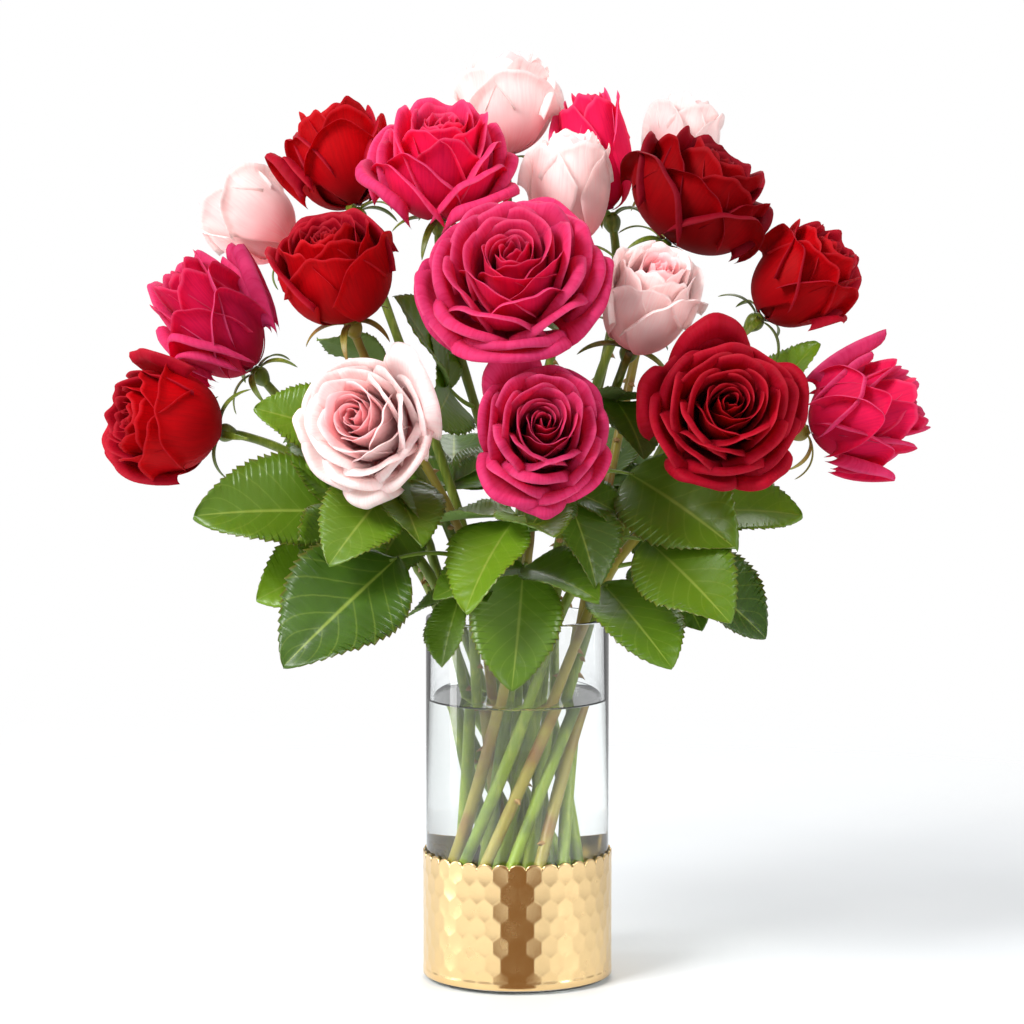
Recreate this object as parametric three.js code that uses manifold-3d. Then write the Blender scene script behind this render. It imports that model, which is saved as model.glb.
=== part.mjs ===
// Eighteen cut roses standing in a clear glass cylinder vase with a gold honeycomb band.
// Millimetres, +Z up. The origin is the centre of the vase's underside. -Y is the front.
import * as THREE from "three";
import Module from "manifold-3d";

const wasm = await Module();
wasm.setup();
const { Manifold, Mesh } = wasm;

// Vase
const VASE_RADIUS = 51;
const VASE_HEIGHT = 203;
const VASE_WALL = 3;
const VASE_FLOOR = 10;
const VASE_SIDES = 48;

// Gold band: rows of tall hexagonal cells over a smooth strip
const BAND_INNER_RADIUS = 51.4;
const BAND_RIDGE_RADIUS = 52.9;
const BAND_CELL_RADIUS = 52.2;
const BAND_BOTTOM = 2;
const BAND_STRIP_TOP = 6;
const BAND_TOP = 72;
const CELLS_AROUND = 36;
const CELL_ROWS = 7;
const CELL_HEIGHT = 13.2;

// Water
const WATER_LEVEL = 156;
const WATER_RADIUS = 47.6;
const GAP = 0.35; // between neighbouring pieces

// Stems: straight in the vase, then bending out to the bloom
const STEM_FOOT_RADIUS = 3;
const STEM_TOP_RADIUS = 2.4;
const STEM_SIDES = 8;
const FOOT_LEVEL = 12.2;
const FOOT_SPREAD = 42;
const NECK_LEVEL = 203;
const NECK_SPREAD = 43;
const BUNCH_TWIST = 120; // degrees the bunch turns between its feet and the vase mouth
const CALYX_LENGTH = 12;

// Leaves
const LEAF_THICKNESS = 1;
const STALK_RADIUS = 1.2;
const LEAFLET_WIDTH = 0.68; // as a share of its length
const SIDE_LEAFLETS = [[0.82, 0.82], [0.4, 0.62]]; // [place on the stalk, length] of each pair

// The roses: name, form, centre of the bloom, the way it looks, its radius and height, and its
// stem's place in the bunch as [distance, degrees], where 1 is the outer ring.
const ROSES = [
  ["red_rose_1", "cup", [-192, -35, 312], [-0.85, -0.45, 0.15], 39, 60, [1, -153]],
  ["hot_pink_rose_2", "open", [-170, 5, 369], [-0.6, -0.2, 0.75], 40, 74, [1, 178]],
  ["pale_rose_3", "cup", [-154, 75, 423], [-0.75, 0.1, 0.6], 31, 58, [1, 150]],
  ["red_rose_4", "open", [-99, 45, 458], [-0.25, 0.2, 0.9], 41, 60, [0.5, 150]],
  ["red_rose_5", "cup", [-98, -60, 396], [-0.25, -0.45, 0.85], 37, 60, [0.5, -150]],
  ["hot_pink_rose_6", "open", [-41, -30, 454], [0.05, -0.4, 0.9], 47, 62, [0, 0]],
  ["pale_rose_7", "cup", [-8, 72, 489], [-0.05, 0, 1], 35, 60, [1, 90]],
  ["pale_rose_8", "bud", [29, 5, 441], [0.05, -0.1, 1], 28, 64, [0.5, 90]],
  ["hot_pink_rose_9", "bud", [45, 56, 461], [-0.2, 0.1, 0.95], 24, 70, [1, 60]],
  ["pale_rose_10", "cup", [94, 90, 466], [0.2, 0.3, 0.9], 26, 54, [1, 30]],
  ["red_rose_11", "open", [100, -10, 436], [0.55, -0.2, 0.8], 46, 60, [0.5, 30]],
  ["pale_rose_12", "cup", [70, -60, 380], [0.25, -0.6, 0.75], 30, 64, [0.5, -30]],
  ["red_rose_13", "cup", [158, -5, 391], [0.65, -0.2, 0.6], 34, 62, [1, 0]],
  ["hot_pink_rose_14", "open", [192, -15, 317], [0.85, -0.1, 0.25], 41, 64, [1, -30]],
  ["red_rose_15", "open", [110, -92, 323], [0.1, -0.93, 0.3], 48, 56, [1, -60]],
  ["hot_pink_rose_16", "open", [13, -120, 314], [0.05, -0.93, 0.33], 45, 58, [1, -90]],
  ["pale_rose_17", "open", [-80, -95, 317], [-0.3, -0.9, 0.25], 45, 58, [1, -123]],
  ["hot_pink_rose_18", "open", [-2, -105, 395], [-0.03, -0.75, 0.65], 55, 55, [0.5, -90]],
].map(([name, form, centre, looks, radius, height, slot]) => ({
  name, form, centre, looks, radius, height, slot,
}));

// The leaves: name, number of the rose, height where the stalk leaves its stem, tip, reach and arch
// of the stalk's bend, roll of the blades in degrees, pairs of side leaflets, end leaflet's length.
const LEAVES = [
  ["leaf_1", 5, 254, [-173, -62, 267], 0.5, 14, -50, 2, 80],
  ["leaf_2", 2, 232, [-142, -40, 221], 0.55, 14, -50, 1, 66],
  ["leaf_3", 3, 272, [-143, 88, 277], 0.5, 20, 20, 2, 62],
  ["leaf_4", 4, 335, [-110, -8, 360], 0.5, 8, 20, 0, 45],
  ["leaf_5", 5, 298, [-143, -38, 320], 0.5, 8, -60, 0, 52],
  ["leaf_6", 6, 318, [-62, -54, 383], 0.5, 8, -60, 0, 64],
  ["leaf_7", 4, 268, [-36, 80, 301], 0.5, 20, 0, 0, 66],
  ["leaf_8", 16, 262, [-31, -106, 222], 0.5, 8, 0, 0, 66],
  ["leaf_9", 10, 262, [48, 108, 305], 0.5, 20, 0, 0, 62],
  ["leaf_10", 10, 240, [159, 20, 262], 0.5, 26, 40, 2, 66],
  ["leaf_11", 12, 284, [116, -84, 254], 0.5, 6, 45, 0, 82],
  ["leaf_12", 12, 322, [67, -60, 305], 0.5, 8, 0, 0, 52],
  ["leaf_13", 13, 256, [163, -10, 357], 0.6, 30, 40, 0, 56],
  ["leaf_14", 14, 232, [137, -38, 200], 0.6, 14, 40, 2, 64],
  ["leaf_15", 15, 224, [78, -104, 192], 0.7, 10, 10, 0, 68],
  ["leaf_16", 16, 236, [0, -82, 175], 0.9, 4, 0, 1, 66],
  ["leaf_17", 17, 240, [-120, -108, 192], 0.6, 14, -40, 0, 88],
  ["leaf_18", 18, 290, [44, -90, 230], 0.5, 8, 0, 1, 52],
  ["leaf_19", 15, 248, [111, -108, 216], 0.5, 12, 30, 0, 72],
  ["leaf_20", 17, 220, [-41, -66, 185], 0.6, 6, 14, 1, 42],
  ["leaf_21", 17, 280, [-99, -104, 245], 0.5, 8, -30, 1, 60],
].map(([name, rose, level, tip, reach, arch, twist, pairs, size]) => ({
  name, rose, level, tip, reach, arch, twist, pairs, size,
}));

const MATERIALS = {
  clear_glass: { color: 0xe9f1ee, roughness: 0.05, metalness: 0, transparent: true, opacity: 0.3 },
  gold_plating: { color: 0xd9b36c, roughness: 0.3, metalness: 1 },
  water: { color: 0xdfe9e0, roughness: 0.02, metalness: 0, transparent: true, opacity: 0.35 },
  petal_red: { color: 0xc8000f, roughness: 0.6, metalness: 0 },
  petal_hot_pink: { color: 0xe02a66, roughness: 0.6, metalness: 0 },
  petal_pale: { color: 0xf3dad9, roughness: 0.6, metalness: 0 },
  stem_green: { color: 0x6f9a38, roughness: 0.5, metalness: 0 },
  leaf_green: { color: 0x4c7a12, roughness: 0.45, metalness: 0 },
};

const group = new THREE.Group();
group.name = "roses_in_a_vase";

const vector = (xyz) => new THREE.Vector3(...xyz);
const polar = (radius, angle, z) =>
  new THREE.Vector3(radius * Math.cos(angle), radius * Math.sin(angle), z);
const radians = (degrees) => (degrees * Math.PI) / 180;

function addPiece(name, geometry, slot) {
  const mesh = new THREE.Mesh(geometry, new THREE.MeshStandardMaterial(MATERIALS[slot]));
  mesh.material.name = slot;
  mesh.name = name;
  group.add(mesh);
}

function geometryOf(points, triangles) {
  const geometry = new THREE.BufferGeometry().setFromPoints(points);
  geometry.setIndex(triangles);
  geometry.computeVertexNormals();
  return geometry;
}

// A closed skin through rings of points that run anticlockwise about the way the rings go. A ring
// of one point closes the skin to a tip.
function loft(rings) {
  const points = rings.flat();
  const triangles = [];
  let start = 0;
  for (let i = 0; i + 1 < rings.length; i++) {
    const next = start + rings[i].length;
    const around = Math.max(rings[i].length, rings[i + 1].length);
    for (let j = 0; j < around; j++) {
      const k = (j + 1) % around;
      const lower = (n) => start + (rings[i].length === 1 ? 0 : n);
      const upper = (n) => next + (rings[i + 1].length === 1 ? 0 : n);
      if (rings[i].length > 1) triangles.push(lower(j), lower(k), upper(k));
      if (rings[i + 1].length > 1) triangles.push(lower(j), upper(k), upper(j));
    }
    start = next;
  }
  return geometryOf(points, triangles);
}

function solidOf(geometry) {
  return new Manifold(
    new Mesh({
      numProp: 3,
      vertProperties: new Float32Array(geometry.attributes.position.array),
      triVerts: new Uint32Array(geometry.index.array),
    })
  );
}

function geometryFrom(solid) {
  const mesh = solid.getMesh();
  const points = [];
  for (let i = 0; i < mesh.vertProperties.length; i += mesh.numProp) {
    points.push(new THREE.Vector3(...mesh.vertProperties.slice(i, i + 3)));
  }
  return geometryOf(points, Array.from(mesh.triVerts));
}

const joined = (geometries) =>
  geometryFrom(geometries.map(solidOf).reduce((whole, solid) => whole.add(solid)));

// A tube with closed ends along a chain of points. Its rings turn as little as they can.
function tube(points, radii, sides) {
  const rings = [[points[0]]];
  let across = null;
  points.forEach((point, i) => {
    const before = points[Math.max(i - 1, 0)];
    const after = points[Math.min(i + 1, points.length - 1)];
    const along = after.clone().sub(before).normalize();
    if (!across) across = new THREE.Vector3(0, 1, 0).cross(along);
    across.addScaledVector(along, -across.dot(along)).normalize();
    const up = along.clone().cross(across);
    const ring = [];
    for (let j = 0; j < sides; j++) {
      const angle = (2 * Math.PI * j) / sides;
      ring.push(
        point
          .clone()
          .addScaledVector(across, radii[i] * Math.cos(angle))
          .addScaledVector(up, radii[i] * Math.sin(angle))
      );
    }
    rings.push(ring);
  });
  rings.push([points[points.length - 1]]);
  return loft(rings);
}

// ---- Vase, band and water ----

function turned(profile, sides) {
  return loft(
    profile.map(([radius, z]) => {
      if (radius === 0) return [new THREE.Vector3(0, 0, z)];
      return Array.from({ length: sides }, (_, j) => polar(radius, (2 * Math.PI * j) / sides, z));
    })
  );
}

const INNER_RADIUS = VASE_RADIUS - VASE_WALL;
addPiece(
  "vase_glass",
  turned(
    [
      [0, 0],
      [VASE_RADIUS - 3, 0],
      [VASE_RADIUS, 3],
      [VASE_RADIUS, VASE_HEIGHT - 1.2],
      [VASE_RADIUS - 1, VASE_HEIGHT],
      [INNER_RADIUS + 1, VASE_HEIGHT],
      [INNER_RADIUS, VASE_HEIGHT - 1.2],
      [INNER_RADIUS, VASE_FLOOR + 3],
      [INNER_RADIUS - 3, VASE_FLOOR],
      [0, VASE_FLOOR],
    ],
    VASE_SIDES
  ),
  "clear_glass"
);

// The band's outer face is a net of six-sided cells, each with its middle pressed in. Every corner
// lies on one of the zigzag lines between two rows, and each line holds two corners to a cell.
function goldBand() {
  const around = 2 * CELLS_AROUND;
  const points = [];
  const triangles = [];
  const addRing = (radius, heightAt) => {
    const first = points.length;
    for (let j = 0; j < around; j++) {
      points.push(polar(radius, (2 * Math.PI * j) / around, heightAt(j)));
    }
    return (j) => first + ((j + around) % around);
  };
  const addWall = (lower, upper) => {
    for (let j = 0; j < around; j++) {
      triangles.push(lower(j), lower(j + 1), upper(j + 1), lower(j), upper(j + 1), upper(j));
    }
  };
  // Peaks of the line above a row stand over that row's cells, which are shifted on every other row.
  const rowCentre = (row) => BAND_TOP - CELL_HEIGHT / 2 - (CELL_ROWS - 1 - row) * 0.75 * CELL_HEIGHT;
  const isPeak = (row, j) => (j + row) % 2 === 0;
  const lineHeight = (row) => (j) =>
    rowCentre(row) + (isPeak(row, j) ? CELL_HEIGHT / 2 : CELL_HEIGHT / 4);

  const innerBottom = addRing(BAND_INNER_RADIUS, () => BAND_BOTTOM);
  const outerBottom = addRing(BAND_RIDGE_RADIUS, () => BAND_BOTTOM);
  const stripTop = addRing(BAND_RIDGE_RADIUS, () => BAND_STRIP_TOP);
  addWall(innerBottom, outerBottom);
  addWall(outerBottom, stripTop);
  let below = stripTop;
  for (let row = 0; row < CELL_ROWS; row++) {
    const above = addRing(BAND_RIDGE_RADIUS, lineHeight(row));
    for (let j = 0; j < around; j++) {
      if (!isPeak(row, j)) continue;
      const middleHeight = Math.max(rowCentre(row), BAND_STRIP_TOP + 2);
      points.push(polar(BAND_CELL_RADIUS, (2 * Math.PI * j) / around, middleHeight));
      const middle = points.length - 1;
      const corners = [below(j - 1), below(j), below(j + 1), above(j + 1), above(j), above(j - 1)];
      corners.forEach((corner, k) => triangles.push(corner, corners[(k + 1) % 6], middle));
    }
    below = above;
  }
  const innerTop = addRing(BAND_INNER_RADIUS, lineHeight(CELL_ROWS - 1));
  addWall(below, innerTop);
  addWall(innerTop, innerBottom);
  return geometryOf(points, triangles);
}
addPiece("gold_band", goldBand(), "gold_plating");

// ---- Stems ----

// Where a rose's stem stands in the bunch at a height, before it bends. Every level of the bunch is
// the same pattern turned and scaled, so no two stems meet.
function bunchPoint(slot, spread, turn, z) {
  return polar(slot[0] * spread, radians(slot[1] + turn), z);
}

function stemLine(rose) {
  const foot = bunchPoint(rose.slot, FOOT_SPREAD, -BUNCH_TWIST, FOOT_LEVEL);
  const neck = bunchPoint(rose.slot, NECK_SPREAD, 0, NECK_LEVEL);
  const looks = vector(rose.looks).normalize();
  const seat = vector(rose.centre).addScaledVector(looks, -rose.height / 2);
  const end = seat.clone().addScaledVector(looks, -CALYX_LENGTH * 0.6);
  const leaving = neck.clone().sub(foot).normalize();
  const span = neck.distanceTo(end);
  const bend = new THREE.CubicBezierCurve3(
    neck,
    neck.clone().addScaledVector(leaving, 0.35 * span),
    end.clone().addScaledVector(looks, -0.3 * span),
    end
  );
  return { foot, neck, looks, seat, bend };
}

// The point of a stem at a height above the vase mouth, and the way the stem runs there.
function stemAt(rose, level) {
  const { bend } = stemLine(rose);
  let low = 0;
  let high = 1;
  for (let i = 0; i < 30; i++) {
    const middle = (low + high) / 2;
    if (bend.getPoint(middle).z < level) low = middle;
    else high = middle;
  }
  return { point: bend.getPoint(low), along: bend.getTangent(low) };
}

// Turns +Z to a direction and moves the origin to a place.
function placed(geometry, direction, place) {
  const turn = new THREE.Quaternion().setFromUnitVectors(new THREE.Vector3(0, 0, 1), direction);
  return geometry.applyQuaternion(turn).translate(place.x, place.y, place.z);
}

// The calyx: a cone under the bloom that runs out into five sepals.
function calyx() {
  const star = Array.from({ length: 10 }, (_, j) =>
    j % 2 ? polar(19, (Math.PI * j) / 5, -5.5) : polar(5, (Math.PI * j) / 5, -2.4)
  );
  return loft([[new THREE.Vector3(0, 0, -CALYX_LENGTH)], star, [new THREE.Vector3(0, 0, -0.8)]]);
}

function stem(rose) {
  const { foot, looks, seat, bend } = stemLine(rose);
  const points = [foot, ...bend.getPoints(7)];
  const radii = points.map(
    (_, i) => STEM_FOOT_RADIUS + ((STEM_TOP_RADIUS - STEM_FOOT_RADIUS) * i) / (points.length - 1)
  );
  return joined([tube(points, radii, STEM_SIDES), placed(calyx(), looks, seat)]);
}

// ---- Blooms ----

// Each form is a profile from the seat, over the outer petals and their rim, down between the
// petals and up to the heart: [radius, height, depth of the petal lobes].
const FORMS = {
  bud: [
    [0.3, 0.02, 0], [0.8, 0.16, 0], [1, 0.42, 0.02], [0.88, 0.75, 0.04],
    [0.66, 0.93, 0.08], [0.46, 0.84, 0], [0.36, 1, 0.1], [0.14, 0.9, 0],
  ],
  cup: [
    [0.3, 0.02, 0], [0.76, 0.15, 0], [0.98, 0.42, 0.02], [1, 0.74, 0.04],
    [0.86, 0.92, 0.08], [0.62, 0.82, 0], [0.44, 1, 0.1], [0.18, 0.88, 0],
  ],
  open: [
    [0.28, 0.02, 0], [0.6, 0.13, 0], [0.82, 0.38, 0.03], [1, 0.66, 0.08],
    [0.84, 0.84, 0.08], [0.6, 0.78, 0], [0.42, 1, 0.1], [0.16, 0.86, 0],
  ],
};
const BLOOM_SIDES = 15;
const LOBES = 5;

function bloom(rose) {
  const rings = FORMS[rose.form].map(([radius, height, lobe], i) =>
    Array.from({ length: BLOOM_SIDES }, (_, j) => {
      const angle = (2 * Math.PI * j) / BLOOM_SIDES;
      const swell = 1 - lobe + lobe * Math.cos(LOBES * angle + i);
      return polar(rose.radius * radius * swell, angle + 0.25 * i, rose.height * height);
    })
  );
  rings.unshift([new THREE.Vector3(0, 0, 0)]);
  rings.push([new THREE.Vector3(0, 0, rose.height * 0.95)]);
  const { looks, seat } = stemLine(rose);
  return placed(loft(rings), looks, seat);
}

// ---- Leaves ----

// One leaflet: [distance along its midrib, half width as a share of the widest].
const LEAFLET_OUTLINE = [[0.14, 0.62], [0.4, 1], [0.68, 0.8], [0.88, 0.36]];

function leaflet(base, heading, face, length, width) {
  const left = face.clone().cross(heading).normalize();
  const up = heading.clone().cross(left);
  const at = (along, aside, above) =>
    base
      .clone()
      .addScaledVector(heading, length * along)
      .addScaledVector(left, aside)
      .addScaledVector(up, above - 0.08 * length * along * along);
  const rings = LEAFLET_OUTLINE.map(([along, share]) => {
    const half = (share * width) / 2;
    return [
      at(along, half, 0.25 * half),
      at(along, 0, LEAF_THICKNESS / 2),
      at(along, -half, 0.25 * half),
      at(along, 0, -LEAF_THICKNESS / 2),
    ];
  });
  return loft([[at(-0.03, 0, 0)], ...rings, [at(1, 0, 0)]]);
}

// A compound leaf: a stalk that bends over from the stem, a leaflet at its end and pairs beside it.
function leaf({ rose, level, tip, reach, arch, twist, pairs, size }) {
  const { point: stemPoint, along: stemAlong } = stemAt(ROSES[rose - 1], level);
  const end = vector(tip);
  const bendPoint = stemPoint.clone().lerp(end, reach);
  bendPoint.z = stemPoint.z + arch;
  const outward = bendPoint.clone().sub(stemPoint).normalize();
  const slant = outward.clone().cross(stemAlong).length();
  const start = stemPoint.clone().addScaledVector(outward, (STEM_FOOT_RADIUS + 1.6) / slant);
  const stalk = new THREE.QuadraticBezierCurve3(start, bendPoint, end);
  const run = end.clone().sub(start).setZ(0).normalize();
  const side = new THREE.Vector3(0, 0, 1).cross(run);
  const endAt = Math.max(1 - size / stalk.getLength(), 0.12);

  const leaflets = [];
  const addLeaflet = (t, turn, length) => {
    const base = stalk.getPointAt(t);
    const along = stalk.getTangentAt(t);
    const face = along.clone().cross(side).applyAxisAngle(along, radians(twist));
    const heading = along.clone().applyAxisAngle(face, radians(turn));
    leaflets.push(leaflet(base, heading, face, length, LEAFLET_WIDTH * length));
  };
  // The end leaflet follows the stalk's own bend, so its heading aims at the leaf's tip.
  const base = stalk.getPointAt(endAt);
  const aim = end.clone().sub(base).normalize();
  const face = aim.clone().cross(side).applyAxisAngle(aim, radians(twist));
  leaflets.push(leaflet(base, aim, face, size, LEAFLET_WIDTH * size));
  SIDE_LEAFLETS.slice(0, pairs).forEach(([share, length]) => {
    addLeaflet(endAt * share, 58, size * length);
    addLeaflet(endAt * share, -58, size * length);
  });
  const stalkPoints = [0, 0.33, 0.66, 1].map((t) => stalk.getPointAt(endAt * t + 0.02 * t));
  const radii = stalkPoints.map(() => STALK_RADIUS);
  return joined([tube(stalkPoints, radii, 5), ...leaflets]);
}

ROSES.forEach((rose) => {
  addPiece(`${rose.name}_bloom`, bloom(rose), `petal_${rose.name.split("_rose")[0]}`);
  addPiece(`${rose.name}_stem`, stem(rose), "stem_green");
});
LEAVES.forEach((entry) => addPiece(entry.name, leaf(entry), "leaf_green"));

// The water fills the vase round the stems.
function waterBody() {
  const profile = [
    [0, VASE_FLOOR + GAP],
    [WATER_RADIUS - 3, VASE_FLOOR + GAP],
    [WATER_RADIUS, VASE_FLOOR + 3 + GAP],
    [WATER_RADIUS, WATER_LEVEL],
    [0, WATER_LEVEL],
  ];
  let water = solidOf(turned(profile, VASE_SIDES));
  ROSES.forEach((rose) => {
    const { foot, neck } = stemLine(rose);
    const up = neck.clone().sub(foot);
    const line = [foot.clone().addScaledVector(up, -0.05), neck];
    const radii = [STEM_FOOT_RADIUS + GAP + 0.05, STEM_FOOT_RADIUS + GAP];
    water = water.subtract(solidOf(tube(line, radii, STEM_SIDES)));
  });
  return geometryFrom(water);
}
addPiece("water", waterBody(), "water");

export default group;
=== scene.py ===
"""The looks of eighteen cut roses in a glass vase with a gold band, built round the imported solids.

Metres, +Z up, -Y to the front. The origin is the middle of the vase's underside.
"""

import math

import bpy
import numpy as np
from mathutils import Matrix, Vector


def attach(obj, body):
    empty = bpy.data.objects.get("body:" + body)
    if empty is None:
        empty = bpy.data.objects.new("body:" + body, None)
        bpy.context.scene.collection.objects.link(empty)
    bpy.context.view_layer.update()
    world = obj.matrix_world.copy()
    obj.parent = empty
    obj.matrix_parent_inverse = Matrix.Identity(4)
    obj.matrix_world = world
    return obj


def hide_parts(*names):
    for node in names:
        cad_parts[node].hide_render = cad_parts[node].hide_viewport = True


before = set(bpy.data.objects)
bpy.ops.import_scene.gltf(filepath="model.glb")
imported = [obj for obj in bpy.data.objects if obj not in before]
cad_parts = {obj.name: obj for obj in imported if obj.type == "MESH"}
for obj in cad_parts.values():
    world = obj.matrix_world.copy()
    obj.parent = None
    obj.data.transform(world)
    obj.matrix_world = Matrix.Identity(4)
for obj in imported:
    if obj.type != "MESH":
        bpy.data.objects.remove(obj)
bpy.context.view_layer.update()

bl_info = {
    "name": "Roses in a Vase",
    "version": (1, 0, 0),
    "blender": (4, 5, 0),
    "location": "3D View > Sidebar > Roses",
    "description": "Builds a bunch of roses in a glass vase with a gold honeycomb band",
    "category": "Add Mesh",
}

MM = 0.001

# Vase, band and water, in millimetres
GLASS_RADIUS = 51.0
GLASS_HEIGHT = 203.0
GLASS_WALL = 3.0
GLASS_FLOOR = 10.0
BAND_INNER = 51.4
BAND_OUTER = 52.9
BAND_BOTTOM = 2.0
BAND_STRIP_TOP = 6.0
BAND_TOP = 72.0
CELLS_AROUND = 36
CELL_HEIGHT = 13.2
WATER_RADIUS = 48.2  # 0.2 mm into the glass, so that no film of air shows between them
WATER_CLIMB = 1.6  # how far the water's edge climbs the glass
WATER_EDGE = 3.5  # width of the ring that climbs
ROUND_SIDES = 160

# The bunch, in millimetres and degrees
FOOT_LEVEL = 12.2
FOOT_SPREAD = 42.0
NECK_LEVEL = 203.0
NECK_SPREAD = 43.0
BUNCH_TWIST = 120.0
CALYX_LENGTH = 12.0
STEM_FOOT = 3.0
STEM_TOP = 2.4
STRAIGHT_POINTS = 24
BEND_POINTS = 121
WOODY = (4, 9, 13, 15)  # places in ROSES of the stems with old wood
THORNS = 9
SEPALS = 5
SEPAL_THICKNESS = 0.6

# name, bloom centre, way it looks, radius, height, stem's place in the bunch, then how far open,
# how pointed the petals are, how many, how light (-1 to 1) and the seed of its small differences.
# How light is partly painted light and shade: it was raised on blooms that glow with light through
# them and lowered on a bloom that faces the key light
ROSES = [
    ("red_rose_1", (-192, -35, 312), (-0.85, -0.45, 0.15), 39, 60, (1, -153), 0.4, 0.1, 26, 0.2, 1),
    ("hot_pink_rose_2", (-170, 5, 369), (-0.6, -0.2, 0.75), 40, 74, (1, 178), 0.75, 0.9, 26, 0.0, 2),
    ("pale_rose_3", (-154, 75, 423), (-0.75, 0.1, 0.6), 31, 58, (1, 150), 0.35, 0.1, 22, 0.5, 3),
    ("red_rose_4", (-99, 45, 458), (-0.25, 0.2, 0.9), 41, 60, (0.5, 150), 0.75, 0.4, 26, 0.1, 4),
    ("red_rose_5", (-98, -60, 396), (-0.25, -0.45, 0.85), 37, 60, (0.5, -150), 0.4, 0.1, 26, 0.1, 5),
    ("hot_pink_rose_6", (-41, -30, 454), (0.05, -0.4, 0.9), 47, 62, (0, 0), 0.85, 0.5, 32, 0.3, 6),
    ("pale_rose_7", (-8, 72, 489), (-0.05, 0, 1), 35, 60, (1, 90), 0.55, 0.2, 26, 0.5, 7),
    ("pale_rose_8", (29, 5, 441), (0.05, -0.1, 1), 28, 64, (0.5, 90), 0.2, 0.1, 22, 0.5, 8),
    ("hot_pink_rose_9", (45, 56, 461), (-0.2, 0.1, 0.95), 24, 70, (1, 60), 0.12, 0.3, 18, 0.4, 9),
    ("pale_rose_10", (94, 90, 466), (0.2, 0.3, 0.9), 26, 54, (1, 30), 0.35, 0.1, 22, 0.3, 10),
    ("red_rose_11", (100, -10, 436), (0.55, -0.2, 0.8), 46, 60, (0.5, 30), 0.75, 0.5, 28, -0.7, 11),
    ("pale_rose_12", (70, -60, 380), (0.25, -0.6, 0.75), 30, 64, (0.5, -30), 0.35, 0.1, 26, 0.5, 12),
    ("red_rose_13", (158, -5, 391), (0.65, -0.2, 0.6), 34, 62, (1, 0), 0.5, 0.2, 26, 0.0, 13),
    ("hot_pink_rose_14", (192, -15, 317), (0.85, -0.1, 0.25), 41, 64, (1, -30), 0.8, 1.0, 26, 0.1, 14),
    ("red_rose_15", (110, -92, 323), (0.1, -0.93, 0.3), 48, 56, (1, -60), 0.9, 0.4, 34, 0.25, 15),
    ("hot_pink_rose_16", (13, -120, 314), (0.05, -0.93, 0.33), 45, 58, (1, -90), 0.9, 0.6, 34, 0.0, 16),
    ("pale_rose_17", (-80, -95, 317), (-0.3, -0.9, 0.25), 45, 58, (1, -123), 0.85, 0.2, 34, 0.45, 17),
    ("hot_pink_rose_18", (-2, -105, 395), (-0.03, -0.75, 0.65), 55, 55, (0.5, -90), 1.0, 0.5, 38, 0.1, 18),
]

GOLDEN_ANGLE = 2.39996  # 137.5 degrees in radians, the turn from one petal to the next

# Finish, back, rim, heart and veins of each colour's petals; the heart colour is partly the petals'
# own deeper colour and partly painted shade of the crevices between them
PETALS = {
    "red": ("rose_petal_red", "#C01230", "#F04A5C", "#B00010", "#B4000C"),
    "hot_pink": ("rose_petal_hot_pink", "#EE4686", "#FF8CB8", "#D80036", "#DC1058"),
    "pale": ("rose_petal_pale_pink", "#FDF1EF", "#FFFBFA", "#FF8E9E", "#FAD8D8"),
}

# Petals that have come loose: angle round the bloom in degrees, how far the petal falls back
# (0 stands, 1 hangs), then its length and width as shares of an outer petal's
LOOSE = {
    "red_rose_1": ((95, -0.05, 1.0, 0.6),),
    "hot_pink_rose_2": (
        (75, 0.1, 1.15, 0.5), (110, 0.15, 1.1, 0.4), (200, 0.7, 1.0, 0.6), (300, 0.6, 1.0, 0.7)
    ),
    "red_rose_4": ((180, 0.35, 1.25, 0.6),),
    "hot_pink_rose_6": ((200, 0.6, 1.1, 0.9), (320, 0.7, 1.1, 0.9)),
    "red_rose_13": ((270, 0.5, 1.1, 0.6),),
    "hot_pink_rose_14": (
        (85, 0.1, 1.2, 0.35), (250, 0.5, 1.2, 0.5), (300, 0.6, 1.1, 0.5), (180, 0.3, 1.0, 0.7)
    ),
    "red_rose_15": (
        (100, 0.1, 1.1, 0.75),
        (165, 0.4, 0.9, 0.6),
        (250, 0.4, 0.8, 0.7),
        (305, 0.6, 1.2, 0.6),
        (15, 0.35, 0.8, 0.7),
    ),
    "hot_pink_rose_16": (
        (268, 0.8, 1.3, 0.55), (235, 0.5, 1.15, 0.9), (115, 0.15, 1.1, 0.6), (320, 0.45, 1.0, 0.8)
    ),
    "pale_rose_17": (
        (38, 0.3, 1.5, 0.9),
        (322, 0.35, 0.9, 0.9),
        (272, 0.75, 1.3, 0.5),
        (225, 0.25, 0.8, 0.9),
        (185, 0.2, 0.8, 0.45),
    ),
    "hot_pink_rose_18": ((190, 0.4, 0.6, 0.9), (350, 0.4, 0.6, 0.9), (270, 0.6, 0.7, 1.0)),
}

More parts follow.
